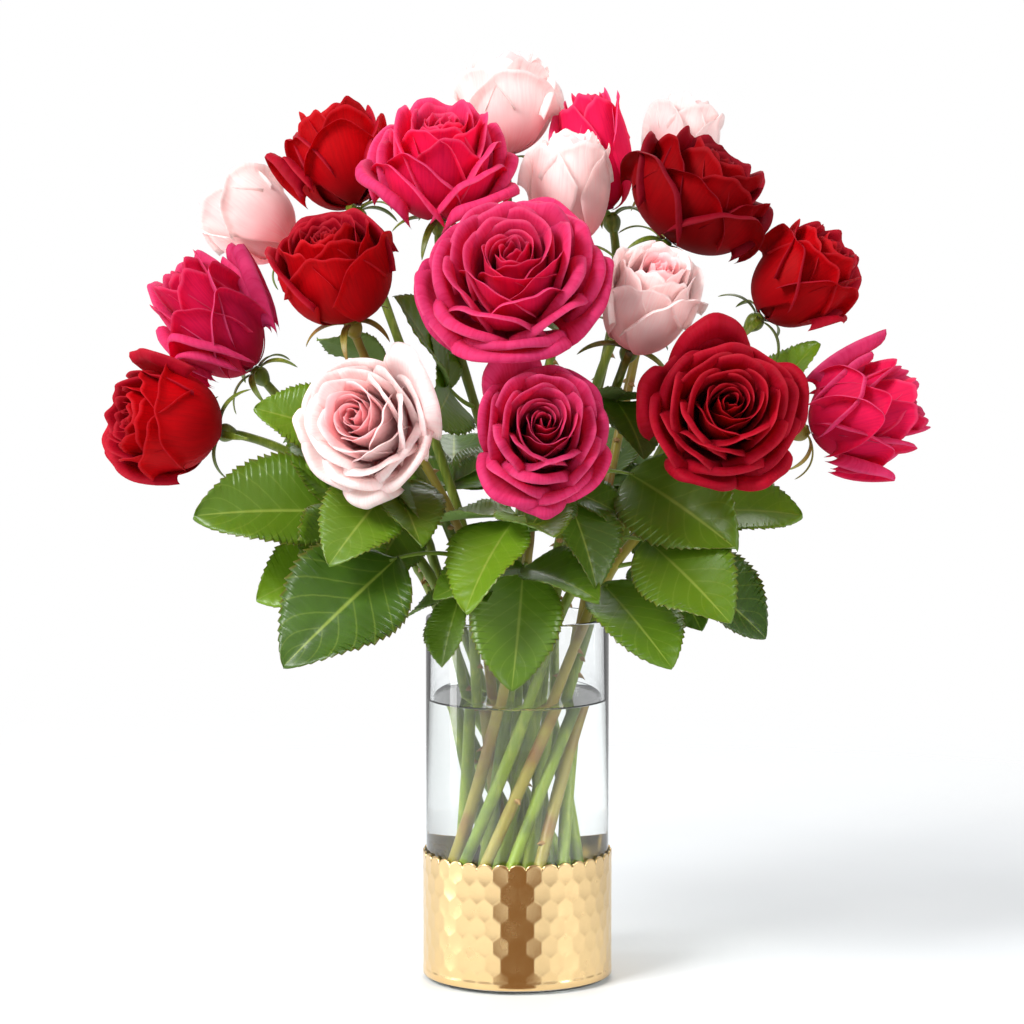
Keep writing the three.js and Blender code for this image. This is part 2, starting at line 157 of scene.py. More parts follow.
# name, number of the rose, height where the stalk leaves its stem, tip, reach and arch of the
# stalk's bend, roll of the blades in degrees, pairs of side leaflets, end leaflet's length, tone
LEAVES = [
    ("leaf_1", 5, 254, (-173, -62, 267), 0.5, 14, -50, 2, 80, 0.1),
    ("leaf_2", 2, 232, (-142, -40, 221), 0.55, 14, -50, 1, 66, 0.9),
    ("leaf_3", 3, 272, (-143, 88, 277), 0.5, 20, 20, 2, 62, -0.1),
    ("leaf_4", 4, 335, (-110, -8, 360), 0.5, 8, 20, 0, 45, 0.5),
    ("leaf_5", 5, 298, (-143, -38, 320), 0.5, 8, -60, 0, 52, 0.5),
    ("leaf_6", 6, 318, (-62, -54, 383), 0.5, 8, -60, 0, 64, 0.2),
    ("leaf_7", 4, 268, (-36, 80, 301), 0.5, 20, 0, 0, 66, -0.2),
    ("leaf_8", 16, 262, (-31, -106, 222), 0.5, 8, 0, 0, 66, 0.8),
    ("leaf_9", 10, 262, (48, 108, 305), 0.5, 20, 0, 0, 62, -0.3),
    ("leaf_10", 10, 240, (159, 20, 262), 0.5, 26, 40, 2, 66, 0.6),
    ("leaf_11", 12, 284, (116, -84, 254), 0.5, 6, 45, 0, 82, 0.1),
    ("leaf_12", 12, 322, (67, -60, 305), 0.5, 8, 0, 0, 52, -0.2),
    ("leaf_13", 13, 256, (163, -10, 357), 0.6, 30, 40, 0, 56, 0.7),
    ("leaf_14", 14, 232, (137, -38, 200), 0.6, 14, 40, 2, 64, -0.4),
    ("leaf_15", 15, 224, (78, -104, 192), 0.7, 10, 10, 0, 68, 0.0),
    ("leaf_16", 16, 236, (0, -82, 175), 0.9, 4, 0, 1, 66, 0.1),
    ("leaf_17", 17, 240, (-120, -108, 192), 0.6, 14, -40, 0, 88, -0.3),
    ("leaf_18", 18, 290, (44, -90, 230), 0.5, 8, 0, 1, 52, -0.2),
    ("leaf_19", 15, 248, (111, -108, 216), 0.5, 12, 30, 0, 72, 0.3),
    ("leaf_20", 17, 220, (-41, -66, 185), 0.6, 6, 14, 1, 42, 0.1),
    ("leaf_21", 17, 280, (-99, -104, 245), 0.5, 8, -30, 1, 60, 0.2),
]
SIDE_LEAFLETS = ((0.82, 0.82), (0.4, 0.62))  # place on the stalk and length of each pair
SIDE_LEAFLET_TURN = 58  # degrees from the stalk
LEAFLET_THICKNESS = 0.5
TEETH = 22
SIDE_VEINS = 7.5  # on each half of a leaflet
STALK_POINTS = 200
# pairs of side leaflets where the collar is thick
FULLER = {"leaf_6": 1, "leaf_7": 2, "leaf_8": 1, "leaf_9": 2, "leaf_12": 1, "leaf_18": 2, "leaf_21": 2}


# ---- Colours, nodes and meshes ----


def linear(code, alpha=1.0):
    """Linear colour of an sRGB hex code such as "#C8000F"."""
    parts = [int(code[i : i + 2], 16) / 255 for i in (1, 3, 5)]
    return tuple(c / 12.92 if c <= 0.04045 else ((c + 0.055) / 1.055) ** 2.4 for c in parts) + (alpha,)


def node(tree, kind, inputs=None, **settings):
    """Adds a node with its settings. Each input is a number, a colour or the socket that feeds it."""
    made = tree.nodes.new(kind)
    for key, value in settings.items():
        setattr(made, key, value)
    for key, value in (inputs or {}).items():
        if isinstance(value, bpy.types.NodeSocket):
            tree.links.new(value, made.inputs[key])
        else:
            made.inputs[key].default_value = value
    return made


def new_material(name):
    material = bpy.data.materials.new(name)
    material.use_nodes = True
    material.node_tree.nodes.clear()
    return material, material.node_tree


def smoothstep(low, high, x):
    """0 below low, 1 above high and an S-shaped rise between."""
    t = np.clip((x - low) / (high - low), 0, 1)
    return t * t * (3 - 2 * t)


def unit(vector):
    vector = np.asarray(vector, float)
    return vector / np.linalg.norm(vector)


def basis(direction, turn=0.0):
    """Three rows, across, up and along, of a right-handed frame whose third axis is the direction."""
    along = unit(direction)
    spare = np.array([0.0, 0.0, 1.0]) if abs(along[2]) < 0.9 else np.array([0.0, 1.0, 0.0])
    across = unit(np.cross(spare, along))
    up = np.cross(along, across)
    c, s = math.cos(turn), math.sin(turn)
    return np.array([c * across + s * up, c * up - s * across, along])


def grid_quads(rows, columns, closed_rows=False, closed_columns=False):
    """Corner numbers of the squares of a grid of rows by columns points, facing across x along."""
    r = np.arange(rows if closed_rows else rows - 1)[:, None]
    c = np.arange(columns if closed_columns else columns - 1)[None, :]
    r2, c2 = (r + 1) % rows, (c + 1) % columns
    corners = np.stack([r * columns + c, r * columns + c2, r2 * columns + c2, r2 * columns + c], -1)
    return corners.reshape(-1, 4)


class Shape:
    """Points, faces and point values gathered from several patches."""

    def __init__(self):
        self.points, self.faces, self.uv, self.values = [], [], [], []
        self.count = 0

    def add(self, points, faces, uv, values):
        """values are the four point values of VALUE_NAMES, each a number or an array."""
        points = np.asarray(points, float).reshape(-1, 3)
        n = len(points)
        self.points.append(points)
        self.faces.extend((np.asarray(part) + self.count).tolist() for part in faces)
        self.uv.append(np.broadcast_to(np.asarray(uv, float), (n, 2)))
        columns = [np.broadcast_to(np.asarray(v, float).reshape(-1), (n,)) for v in values]
        self.values.append(np.stack(columns, 1))
        self.count += n


VALUE_NAMES = ("layer", "side", "tone", "extra")


def make_piece(name, shape, material, replaced):
    """Puts a Shape into a mesh object that rides on the root and stands for its CAD node."""
    points = np.concatenate(shape.points)
    faces = [face for part in shape.faces for face in part]
    mesh = bpy.data.meshes.new(name)
    mesh.from_pydata((points * MM).tolist(), [], faces)
    corner = np.empty(len(mesh.loops), np.int32)
    mesh.loops.foreach_get("vertex_index", corner)
    uv = np.concatenate(shape.uv)
    mesh.uv_layers.new(name="surface").data.foreach_set("uv", uv[corner].astype(np.float32).ravel())
    values = np.concatenate(shape.values)
    for i, label in enumerate(VALUE_NAMES):
        layer = mesh.attributes.new(label, "FLOAT", "POINT")
        layer.data.foreach_set("value", np.ascontiguousarray(values[:, i], np.float32))
    mesh.shade_smooth()
    mesh.materials.append(material)
    obj = bpy.data.objects.new(name, mesh)
    bpy.context.scene.collection.objects.link(obj)
    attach(obj, "root")
    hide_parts(replaced)
    return obj


def add_sheets(shape, points, thickness, uv, layer, tone, plus_side, extra=0.0):
    """Adds P thin closed sheets to a shape, given as an array (P, rows, columns, 3).

    Each sheet is its middle surface moved half the thickness both ways along the surface's normal,
    which is the cross product of its slopes along the columns and the rows, with a strip round the
    edge. The thickness falls to a third at the edge.
    """
    count, rows, columns, _ = points.shape
    normal = np.cross(np.gradient(points, axis=2), np.gradient(points, axis=1))
    normal /= np.linalg.norm(normal, axis=3, keepdims=True) + 1e-9
    half = np.full((rows, columns, 1), thickness / 2)
    half[[0, -1]] *= 0.35
    half[:, [0, -1]] *= 0.35
    size = rows * columns
    plus, minus = points + normal * half, points - normal * half
    both = np.stack([plus, minus], 1).reshape(-1, 3)
    quads = grid_quads(rows, columns)
    at = np.arange(size).reshape(rows, columns)
    ring = np.concatenate([at[0], at[1:, -1], at[-1, -2::-1], at[-2:0:-1, 0]])
    ahead = np.roll(ring, -1)
    strip = np.stack([ahead, ring, ring + size, ahead + size], 1)
    one = np.concatenate([quads, quads[:, ::-1] + size, strip])
    faces = (one[None] + (np.arange(count) * 2 * size)[:, None, None]).reshape(-1, 4)
    side = np.zeros((count, 2, size))
    side[:, 0] = plus_side
    side[:, 1] = 1 - plus_side

    def spread(value):
        value = np.broadcast_to(np.asarray(value, float), (count, rows, columns)).reshape(count, 1, size)
        return np.repeat(value, 2, axis=1)

    uv = np.broadcast_to(uv, (count, rows, columns, 2)).reshape(count, 1, size, 2)
    shape.add(
        both,
        [faces],
        np.repeat(uv, 2, axis=1).reshape(-1, 2),
        (spread(layer), side, spread(tone), spread(extra)),
    )


def tube_faces(count, sides):
    """Faces between rings of points, and the fans that close both ends at the two points after them."""
    a = np.arange(sides)
    b = (a + 1) % sides
    top = (count - 1) * sides
    start = np.stack([b, a, np.full(sides, count * sides)], 1)
    end = np.stack([top + a, top + b, np.full(sides, count * sides + 1)], 1)
    return [grid_quads(count, sides, closed_columns=True), start, end]


def add_tube(shape, path, radius, sides, tone=0.0, extra=0.0, cut=0.0):
    """Adds a closed tube: a circle carried along the path, whose frame turns as little as it can.

    The first ring leans by cut times its width along the path, as a slanting cut does.
    """
    path = np.asarray(path, float)
    count = len(path)
    along = np.gradient(path, axis=0)
    along /= np.linalg.norm(along, axis=1, keepdims=True)
    across = np.empty_like(along)
    last = basis(along[0])[0]
    for i in range(count):
        last = unit(last - along[i] * last.dot(along[i]))
        across[i] = last
    up = np.cross(along, across)
    angle = 2 * np.pi * np.arange(sides) / sides
    radius = np.broadcast_to(np.asarray(radius, float), (count,))
    ring = across[:, None] * np.cos(angle)[None, :, None] + up[:, None] * np.sin(angle)[None, :, None]
    points = path[:, None] + ring * radius[:, None, None]
    points[0] += along[0] * (cut * radius[0] * (np.cos(angle) + 1))[:, None]
    body = np.concatenate([points.reshape(-1, 3), points[0].mean(0)[None], path[-1:]])
    v = np.repeat(np.linspace(0, 1, count), sides)
    u = np.tile(np.arange(sides) / sides, count)
    uv = np.concatenate([np.stack([u, v], 1), [[0.5, 0], [0.5, 1]]])
    capped = np.zeros(len(body))
    if cut:
        capped[-2] = 1.0
    shape.add(body, tube_faces(count, sides), uv, (capped, 0.0, tone, extra))


def add_turned(shape, profile, sides):
    """Adds a solid of revolution: the profile, from axis to axis, turned about +Z."""
    profile = np.asarray(profile, float)
    inner = profile[1:-1]
    angle = 2 * np.pi * np.arange(sides) / sides
    points = np.stack(
        [
            inner[:, :1] * np.cos(angle)[None],
            inner[:, :1] * np.sin(angle)[None],
            np.repeat(inner[:, 1:], sides, axis=1),
        ],
        -1,
    )
    count = len(inner)
    body = np.concatenate([points.reshape(-1, 3), [[0, 0, profile[0, 1]], [0, 0, profile[-1, 1]]]])
    shape.add(body, tube_faces(count, sides), (0.0, 0.0), (0, 0, 0, 0))


def rounded(corners, steps=6):
    """A profile whose corners, given as (radius, height, rounding), are each a quarter arc.

    Each corner is a quadratic Bezier curve between the points its rounding away on both edges.
    """
    out = []
    for i, (r, z, size) in enumerate(corners):
        point = np.array([r, z], float)
        if not size:
            out.append(point[None])
            continue
        before = point + size * unit(np.subtract(corners[i - 1][:2], point))
        after = point + size * unit(np.subtract(corners[i + 1][:2], point))
        t = np.linspace(0, 1, steps)[:, None]
        out.append((1 - t) ** 2 * before + 2 * t * (1 - t) * point + t**2 * after)
    return np.concatenate(out)


# ---- Vase, band and water ----


def glass_shape():
    inner = GLASS_RADIUS - GLASS_WALL
    shape = Shape()
    add_turned(
        shape,
        rounded(
            [
                (0, 0, 0),
                (GLASS_RADIUS, 0, 2.5),
                (GLASS_RADIUS, GLASS_HEIGHT, 1.4),
                (inner, GLASS_HEIGHT, 1.4),
                (inner, GLASS_FLOOR, 5),
                (0, GLASS_FLOOR, 0),
            ]
        ),
        ROUND_SIDES,
    )
    return shape


def water_shape(level):
    """A filled cylinder whose surface climbs the glass, by a power of 2.5 of the way across its edge."""
    run = np.linspace(0, 1, 12)[:, None]
    edge = np.concatenate([WATER_RADIUS - WATER_EDGE * run, level + WATER_CLIMB * (1 - run) ** 2.5], 1)
    # rings just under the edge keep the wall's smooth shading upright
    edge = np.concatenate([[[WATER_RADIUS, level - 3], [WATER_RADIUS, level + 1.2]], edge])
    foot = GLASS_FLOOR - 0.2
    start = rounded([(0, foot, 0), (WATER_RADIUS, foot, 5), (WATER_RADIUS, level, 0)])[:-1]
    shape = Shape()
    add_turned(shape, np.concatenate([start, edge, [[20, level], [0, level]]]), ROUND_SIDES)
    return shape


def band_shape(depth):
    """A sleeve whose outer face is pressed into cells.

    The face's radius is the ridge radius less depth times (1 - d^2), where d is the distance from
    the nearest cell's middle as a share of its corner's, so that neighbouring hollows meet in the
    sharp ridges of a honeycomb. The top edge runs in half ellipses over the last row's cells.
    """
    fine = 14
    around = CELLS_AROUND * fine
    pitch = 2 * math.pi * BAND_OUTER / CELLS_AROUND
    turn = np.arange(around) / fine  # in cells
    top_row = BAND_TOP - CELL_HEIGHT / 2
    off = (turn + 0.5) % 1 - 0.5
    arch = CELL_HEIGHT / 4 + CELL_HEIGHT / 4 * np.sqrt(np.clip(1 - (2 * off) ** 2, 0, 1))
    edge = top_row + arch
    v = np.linspace(0, 1, 96)[:, None]
    z = BAND_STRIP_TOP - 0.4 + (edge[None] - BAND_STRIP_TOP + 0.4) * v
    # regular six-sided cells of width 1 in the stretched plane (turn, height)
    y = (z - top_row) / (0.75 * CELL_HEIGHT) * math.sqrt(0.75)
    x = np.broadcast_to(turn[None], y.shape)
    best = np.full(y.shape, np.inf)
    for shift in (0, 1):
        row = 2 * np.round((y / math.sqrt(0.75) - shift) / 2) + shift
        dx = (x - 0.5 * shift + 0.5) % 1 - 0.5
        dy = y - row * math.sqrt(0.75)
        best = np.minimum(best, 3 * (dx**2 + dy**2))
    dent = depth * (1 - best)
    rise = smoothstep(0, 0.35, z - BAND_STRIP_TOP) * smoothstep(0, 0.6, edge[None] - z)
    radius = BAND_OUTER - dent * rise
    radius[-1] -= 0.25
    bevel = 0.3
    foot = [
        (BAND_INNER, BAND_BOTTOM + bevel),
        (BAND_INNER + bevel, BAND_BOTTOM),
        (BAND_OUTER - bevel, BAND_BOTTOM),
        (BAND_OUTER, BAND_BOTTOM + bevel),
        (BAND_OUTER, BAND_STRIP_TOP - 0.8),
    ]
    foot_r, foot_z = np.array(foot).T[:, :, None] * np.ones(around)
    rings_r = np.concatenate([foot_r, radius, np.full((2, around), BAND_INNER)])
    rings_z = np.concatenate([foot_z, z, edge[None], edge[None] * 0.5 + 1.0])
    angle = 2 * np.pi * turn / CELLS_AROUND
    points = np.stack([rings_r * np.cos(angle), rings_r * np.sin(angle), rings_z], -1)
    shape = Shape()
    rows = len(points)
    uv = np.stack(np.broadcast_arrays(turn[None] * pitch, rings_z), -1).reshape(-1, 2)
    # marks the side against the glass, which the gold material paints dark olive as a painted reflection
    inner = np.zeros((rows, around))
    inner[-2:] = inner[0] = 1.0
    faces = grid_quads(rows, around, closed_rows=True, closed_columns=True)
    shape.add(points, [faces], uv, (inner, 0, 0, 0))
    return shape


# ---- Stems ----


def bunch_point(slot, spread, turn, z):
    angle = math.radians(slot[1] + turn)
    return np.array([slot[0] * spread * math.cos(angle), slot[0] * spread * math.sin(angle), z])


def stem_line(rose):
    """The stem's middle line: straight from foot to neck, then a cubic Bezier curve to the calyx."""
    centre, looks, height, slot = np.array(rose[1], float), unit(rose[2]), rose[4], rose[5]
    foot = bunch_point(slot, FOOT_SPREAD, -BUNCH_TWIST, FOOT_LEVEL)
    neck = bunch_point(slot, NECK_SPREAD, 0, NECK_LEVEL)
    seat = centre - looks * height / 2
    end = seat - looks * CALYX_LENGTH * 0.6
    span = np.linalg.norm(neck - end)
    near = neck + unit(neck - foot) * 0.35 * span
    far = end - looks * 0.3 * span
    t = np.linspace(0, 1, BEND_POINTS)[:, None]
    bend = (1 - t) ** 3 * neck + 3 * t * (1 - t) ** 2 * near + 3 * t**2 * (1 - t) * far + t**3 * end
    straight = foot + (neck - foot) * np.linspace(0, 1, STRAIGHT_POINTS)[:-1, None]
    return straight, bend, seat, looks


def add_thorns(shape, path, radius, rng, tone):
    """Adds thorns: each is a cone whose middle line bows down, h^2 times 0.35 of its height."""
    for i in rng.choice(np.arange(3, len(path) - 20), THORNS, replace=False):
        along = unit(path[i + 1] - path[i - 1])
        out = basis(along, rng.uniform(0, 2 * np.pi))[0]
        length = rng.uniform(3.2, 5.2)
        h = np.linspace(0, 1, 6)[:, None]
        line = path[i] + out * (radius[i] * 0.7 + length * h) - along * (0.35 * length * h**2)
        add_tube(shape, line, (2.1 * (1 - h[:, 0]) ** 1.3 + 0.05), 7, tone, 1.0)


def add_calyx(shape, seat, looks, openness, rng, tone):
    """Adds the hip, a small urn under the bloom, and five sepals.

    A sepal's middle line runs out from the hip and bows back by an angle that grows evenly along
    it; its half width is about 3 mm times (1 - s)^0.8 times (0.55 + s), and its sides fold up.
    """
    frame_rows = basis(looks, rng.uniform(0, 6.28))
    h = np.linspace(0, 1, 14)
    hip = seat + looks * (-CALYX_LENGTH + (CALYX_LENGTH - 0.6) * h)[:, None]
    radius = 2.5 + 3.4 * np.sin(np.pi * np.clip(h * 1.05, 0, 1)) ** 0.8 * (0.55 + 0.45 * h)
    add_tube(shape, hip, radius, 16, tone, 0.15)
    s = np.linspace(0, 1, 16)[:, None]
    u = np.linspace(-1, 1, 7)[None, :]
    blades = []
    for k in range(SEPALS):
        angle = 2 * math.pi * k / SEPALS + rng.uniform(-0.15, 0.15)
        out = frame_rows[0] * math.cos(angle) + frame_rows[1] * math.sin(angle)
        side = np.cross(looks, out)
        length = rng.uniform(24, 31)
        start, finish = math.radians(12 + 25 * (1 - openness)), math.radians(-75 + 30 * rng.random())
        lean = start + (finish - start) * s[:, 0]
        step = length / (len(s) - 1)
        run = np.cumsum(np.cos(lean)) * step - step * math.cos(start)
        rise = np.cumsum(np.sin(lean)) * step - step * math.sin(start)
        half = 3.1 * (1 - s) ** 0.8 * (0.55 + s) + 0.12
        curl = 3.0 * math.sin(3 * angle) * s**2
        blade = (
            seat
            + looks * (rise[:, None, None] - 2.4 + 0.3 * (half * u**2)[..., None])
            + out * (run[:, None, None] + 3.6)
            + side * ((half * u + curl)[..., None])
        )
        blades.append(blade)
    uv = np.stack(np.broadcast_arrays(u, s), -1)
    add_sheets(shape, np.array(blades), SEPAL_THICKNESS, uv, 0.0, tone, 1.0, extra=0.1)


def stem_shape(rose, index):
    rng = np.random.default_rng(100 + rose[-1])
    straight, bend, seat, looks = stem_line(rose)
    path = np.concatenate([straight, bend])
    share = np.linspace(0, 1, len(path))
    radius = STEM_FOOT + (STEM_TOP - STEM_FOOT) * share
    knot = 0.12 * np.exp(-(((share - 0.3) / 0.01) ** 2))
    radius = radius * (1 + 0.03 * np.sin(share * 60 + rose[-1]) + knot)
    tone = 1.0 if index in WOODY else rng.uniform(-0.3, 0.3)
    shape = Shape()
    add_tube(shape, path, radius, 18, tone, 0.0, cut=0.7)
    add_thorns(shape, path, radius, rng, tone)
    add_calyx(shape, seat, looks, rose[6], rng, tone)
    return shape


# ---- Blooms ----


def bezier(points, q):
    """Place and slope at q of a cubic Bezier curve through four control values."""
    a, b, c, d = points
    place = (1 - q) ** 3 * a + 3 * q * (1 - q) ** 2 * b + 3 * q**2 * (1 - q) * c + q**3 * d
    slope = 3 * (1 - q) ** 2 * (b - a) + 6 * q * (1 - q) * (c - b) + 3 * q**2 * (d - c)
    return place, slope


def bloom_shape(rose, thickness, roll):
    """A bloom of petals set on a spiral, each turned 137.5 degrees from the last, and its loose petals.

    A petal is a patch of a surface of revolution about the bloom's axis. s runs up the petal, u
    across it from -1 to 1. Its angle is its own place plus u times its half width, which narrows to
    the base, and its outline ends at s = 1 less a share of |u| to a power. Radius and height follow
    a cubic Bezier curve in s, whose points move outwards and then down with the petal's place t
    from heart to rim. Near the outline the curve rolls back on a small arc, further at the corners.
    In the heart the radius grows with u, which winds the petals up; further out both sides of a
    petal stand off its neighbours by |u|^5. Sine waves in u ruffle it towards the edge.
    """
    name, centre, looks, radius, height, _, openness, point, count, tone, seed = rose
    rng = np.random.default_rng(seed)
    rows, columns = 18, 27
    loose = np.array(LOOSE.get(name, ()), float).reshape(-1, 4)
    total = count + len(loose)

    def each(values):
        return np.asarray(values, float)[:, None, None]

    def own(spiral, mine):
        """One value for every petal: the spiral's, then the loose petals' own."""
        return each(np.concatenate([np.broadcast_to(spiral, count), mine]))

    t = own(np.linspace(0, 1, count) ** 1.3, np.ones(len(loose)))
    free, fall = own(0, np.ones(len(loose))), own(0, loose[:, 1])
    long, wide = own(1, loose[:, 2]), own(1, loose[:, 3])
    place = own(np.arange(count) * GOLDEN_ANGLE + rng.uniform(0, 6.28), np.radians(loose[:, 0]))
    v = np.linspace(0, 1, rows)[None, :, None]
    u = np.linspace(-1, 1, columns)[None, None, :]
    jitter = each(rng.normal(0, 1, total)).clip(-1.6, 1.6)
    jitter2 = each(rng.normal(0, 1, total)).clip(-1.6, 1.6)
    phase = each(rng.uniform(0, 6.28, total))

    sharp = point * smoothstep(0.3, 0.9, t)
    drop = 0.26 + 0.1 * openness + 0.14 * sharp
    reach = 1 - drop * np.abs(u) ** (2.6 - 1.3 * sharp)
    reach = reach + 0.012 * np.sin(7.3 * u + phase) + 0.01 * np.sin(13.1 * u - 2 * phase)
    s = v * reach
    half = 1.95 + (1.22 - 0.36 * openness - 1.95) * smoothstep(0, 0.55, t)
    theta = place + 0.12 * jitter * (1 - free) + u * half * wide * (0.42 + 0.58 * smoothstep(0, 0.6, s))

    mouth, waist = 0.6 + 0.4 * openness**0.7, 0.95 - 0.2 * openness
    belly = 0.1 + (waist - 0.1) * t**0.8
    top_r = (0.04 + (mouth - 0.04) * t**0.85) * (1 + 0.03 * jitter)
    top_z = 0.9 + 0.07 * smoothstep(0, 0.4, t) - (0.06 + 0.36 * openness**2) * smoothstep(0.4, 1, t)
    top_z = top_z * (1 + 0.03 * jitter2 * t)
    radii = [0.06 + 0 * t, belly * 1.2, belly * (1.2 - 0.08 * openness * t), top_r]
    heights = [0.1 * (1 - t), 0.03 + 0.15 * (1 - t), 0.68 - 0.16 * openness * t, top_z]
    own_radii = [0.06, 0.85, 1.02, 0.85 + long * (0.24 + 0.22 * fall)]
    own_heights = [0.0, 0.02, 0.74, 0.02 + long * (0.86 - 0.85 * fall)]
    radii = [a + (b - a) * free for a, b in zip(radii, own_radii)]
    heights = [a + (b - a) * free for a, b in zip(heights, own_heights)]

    lip = 0.15 + 0.1 * openness * t
    q = np.minimum(s, reach - lip)
    (r, dr), (z, dz) = bezier(radii, q), bezier(heights, q)
    r, dr, z, dz = r * radius, dr * radius, z * height, dz * height
    length = np.sqrt(dr**2 + dz**2) + 1e-9
    dr, dz = dr / length, dz / length
    turn_most = roll * (0.2 + (0.35 + 1.7 * openness) * t ** (3 - 2 * openness)) * (1 + 0.25 * jitter2)
    turn_most = np.clip(turn_most * (1 + (0.45 + 0.7 * sharp) * u**2), 0.12, 3.3)
    past = np.clip((s - (reach - lip)) / lip, 0, 1)
    arc = lip * length / turn_most * 0.85
    psi = past * turn_most
    r = r + arc * (np.sin(psi) * dr + (1 - np.cos(psi)) * dz)
    z = z + arc * (np.sin(psi) * dz - (1 - np.cos(psi)) * dr)
    r = r * (1 + 0.3 * (1 - smoothstep(0, 0.6, t)) * u)
    r = r + radius * (0.012 + 0.03 * openness) * np.abs(u) ** 5 * smoothstep(0.25, 0.8, s) * t
    wave = 0.6 * np.sin(3.2 * u + phase) + 0.4 * np.sin(6.1 * u - 2 * phase)
    r = r + radius * (0.012 + 0.03 * openness * t) * wave * s**3
    z = z + height * (0.015 + 0.015 * openness) * np.sin(4.3 * u + 2.3 * phase) * s**3
    r = r * (1 + 0.04 * np.cos(2 * theta + phase[0]))

    r = r * (radius / np.percentile(r, 99.9))
    low, high = z[:count].min(), z[:count].max()
    z = (z - low) * (height / (high - low))
    looks = unit(looks)
    seat = np.array(centre, float) - looks * height / 2
    points = np.stack([r * np.cos(theta), r * np.sin(theta), z], -1) @ basis(looks) + seat
    shape = Shape()
    uv = np.stack(np.broadcast_arrays(0.5 + 0.5 * u, s), -1)
    tones = tone + 0.12 * jitter
    from_edge = np.broadcast_to(reach - s, points.shape[:3])
    add_sheets(shape, points, thickness, uv, t, tones, 1.0, extra=from_edge)
    # a core closes the view between the petals
    h = np.linspace(0, 1, 10)
    core = seat + looks * (height * (0.02 + 0.6 * h))[:, None]
    add_tube(shape, core, radius * 0.16 * np.sin(np.pi * (0.25 + 0.7 * h)), 16, tone, 0.4)
    return shape


# ---- Leaves ----


def leaflet_grid(base, heading, face, length, width, rng):
    """One leaflet's middle surface.

    s runs along the midrib and u across. The outline is half the width times sin(pi s^0.86)^0.78, a
    little wider at the base, with a saw of teeth on it. The midrib rises and then bows down with
    s^2.2, the halves rise from it like a shallow V, the blade sinks along each side vein, and the
    edge waves.
    """
    rows, columns = 111, 11
    s = np.linspace(0, 1, rows)[:, None]
    u = np.linspace(-1, 1, columns)[None, :]
    left = unit(np.cross(face, heading))
    up = np.cross(heading, left)
    saw = (s * TEETH) % 1
    bite = 0.085 * (saw - 0.45) * smoothstep(0.04, 0.2, s) * smoothstep(0.0, 0.12, 1 - s)
    ragged = 1 + bite * np.abs(u) ** 6
    half = 0.5 * width * np.sin(np.pi * s**0.86) ** 0.78 * (1 + 0.12 * (1 - s)) + 0.15
    aside = -half * ragged * u
    along = s * length + 0.10 * half * np.abs(u) ** 3 * (saw - 0.3) * 0.6
    vein = (s - 0.32 * np.abs(u) * half / (0.5 * width)) * SIDE_VEINS
    crease = np.abs((vein + 0.5) % 1 - 0.5) * 2  # 0 on a side vein, 1 midway
    quilt = (0.9 * (crease**0.7 - 0.5)) * np.minimum(1, 3 * np.abs(u))
    quilt = quilt * smoothstep(0.02, 0.2, s) * smoothstep(0, 0.2, 1 - s)
    wave = 0.035 * length * np.sin(2 * np.pi * (1.3 * s + rng.random())) * u * np.abs(u)
    fold = rng.uniform(0.15, 0.42)
    above = fold * np.abs(aside) ** 1.15 / 1.4 + length * (0.06 * s - 0.13 * s**2.2) + quilt + wave
    bow = rng.uniform(-0.06, 0.06) * length * s**2
    points = (
        np.asarray(base)
        + unit(heading) * along[..., None]
        + left * (aside + bow)[..., None]
        + up * above[..., None]
    )
    uv = np.stack(np.broadcast_arrays(0.5 + 0.5 * u, s), -1)
    return points, uv


def rotate(vector, axis, degrees):
    """The vector turned about a unit axis."""
    angle = math.radians(degrees)
    return (
        vector * math.cos(angle)
        + np.cross(axis, vector) * math.sin(angle)
        + axis * axis.dot(vector) * (1 - math.cos(angle))
    )


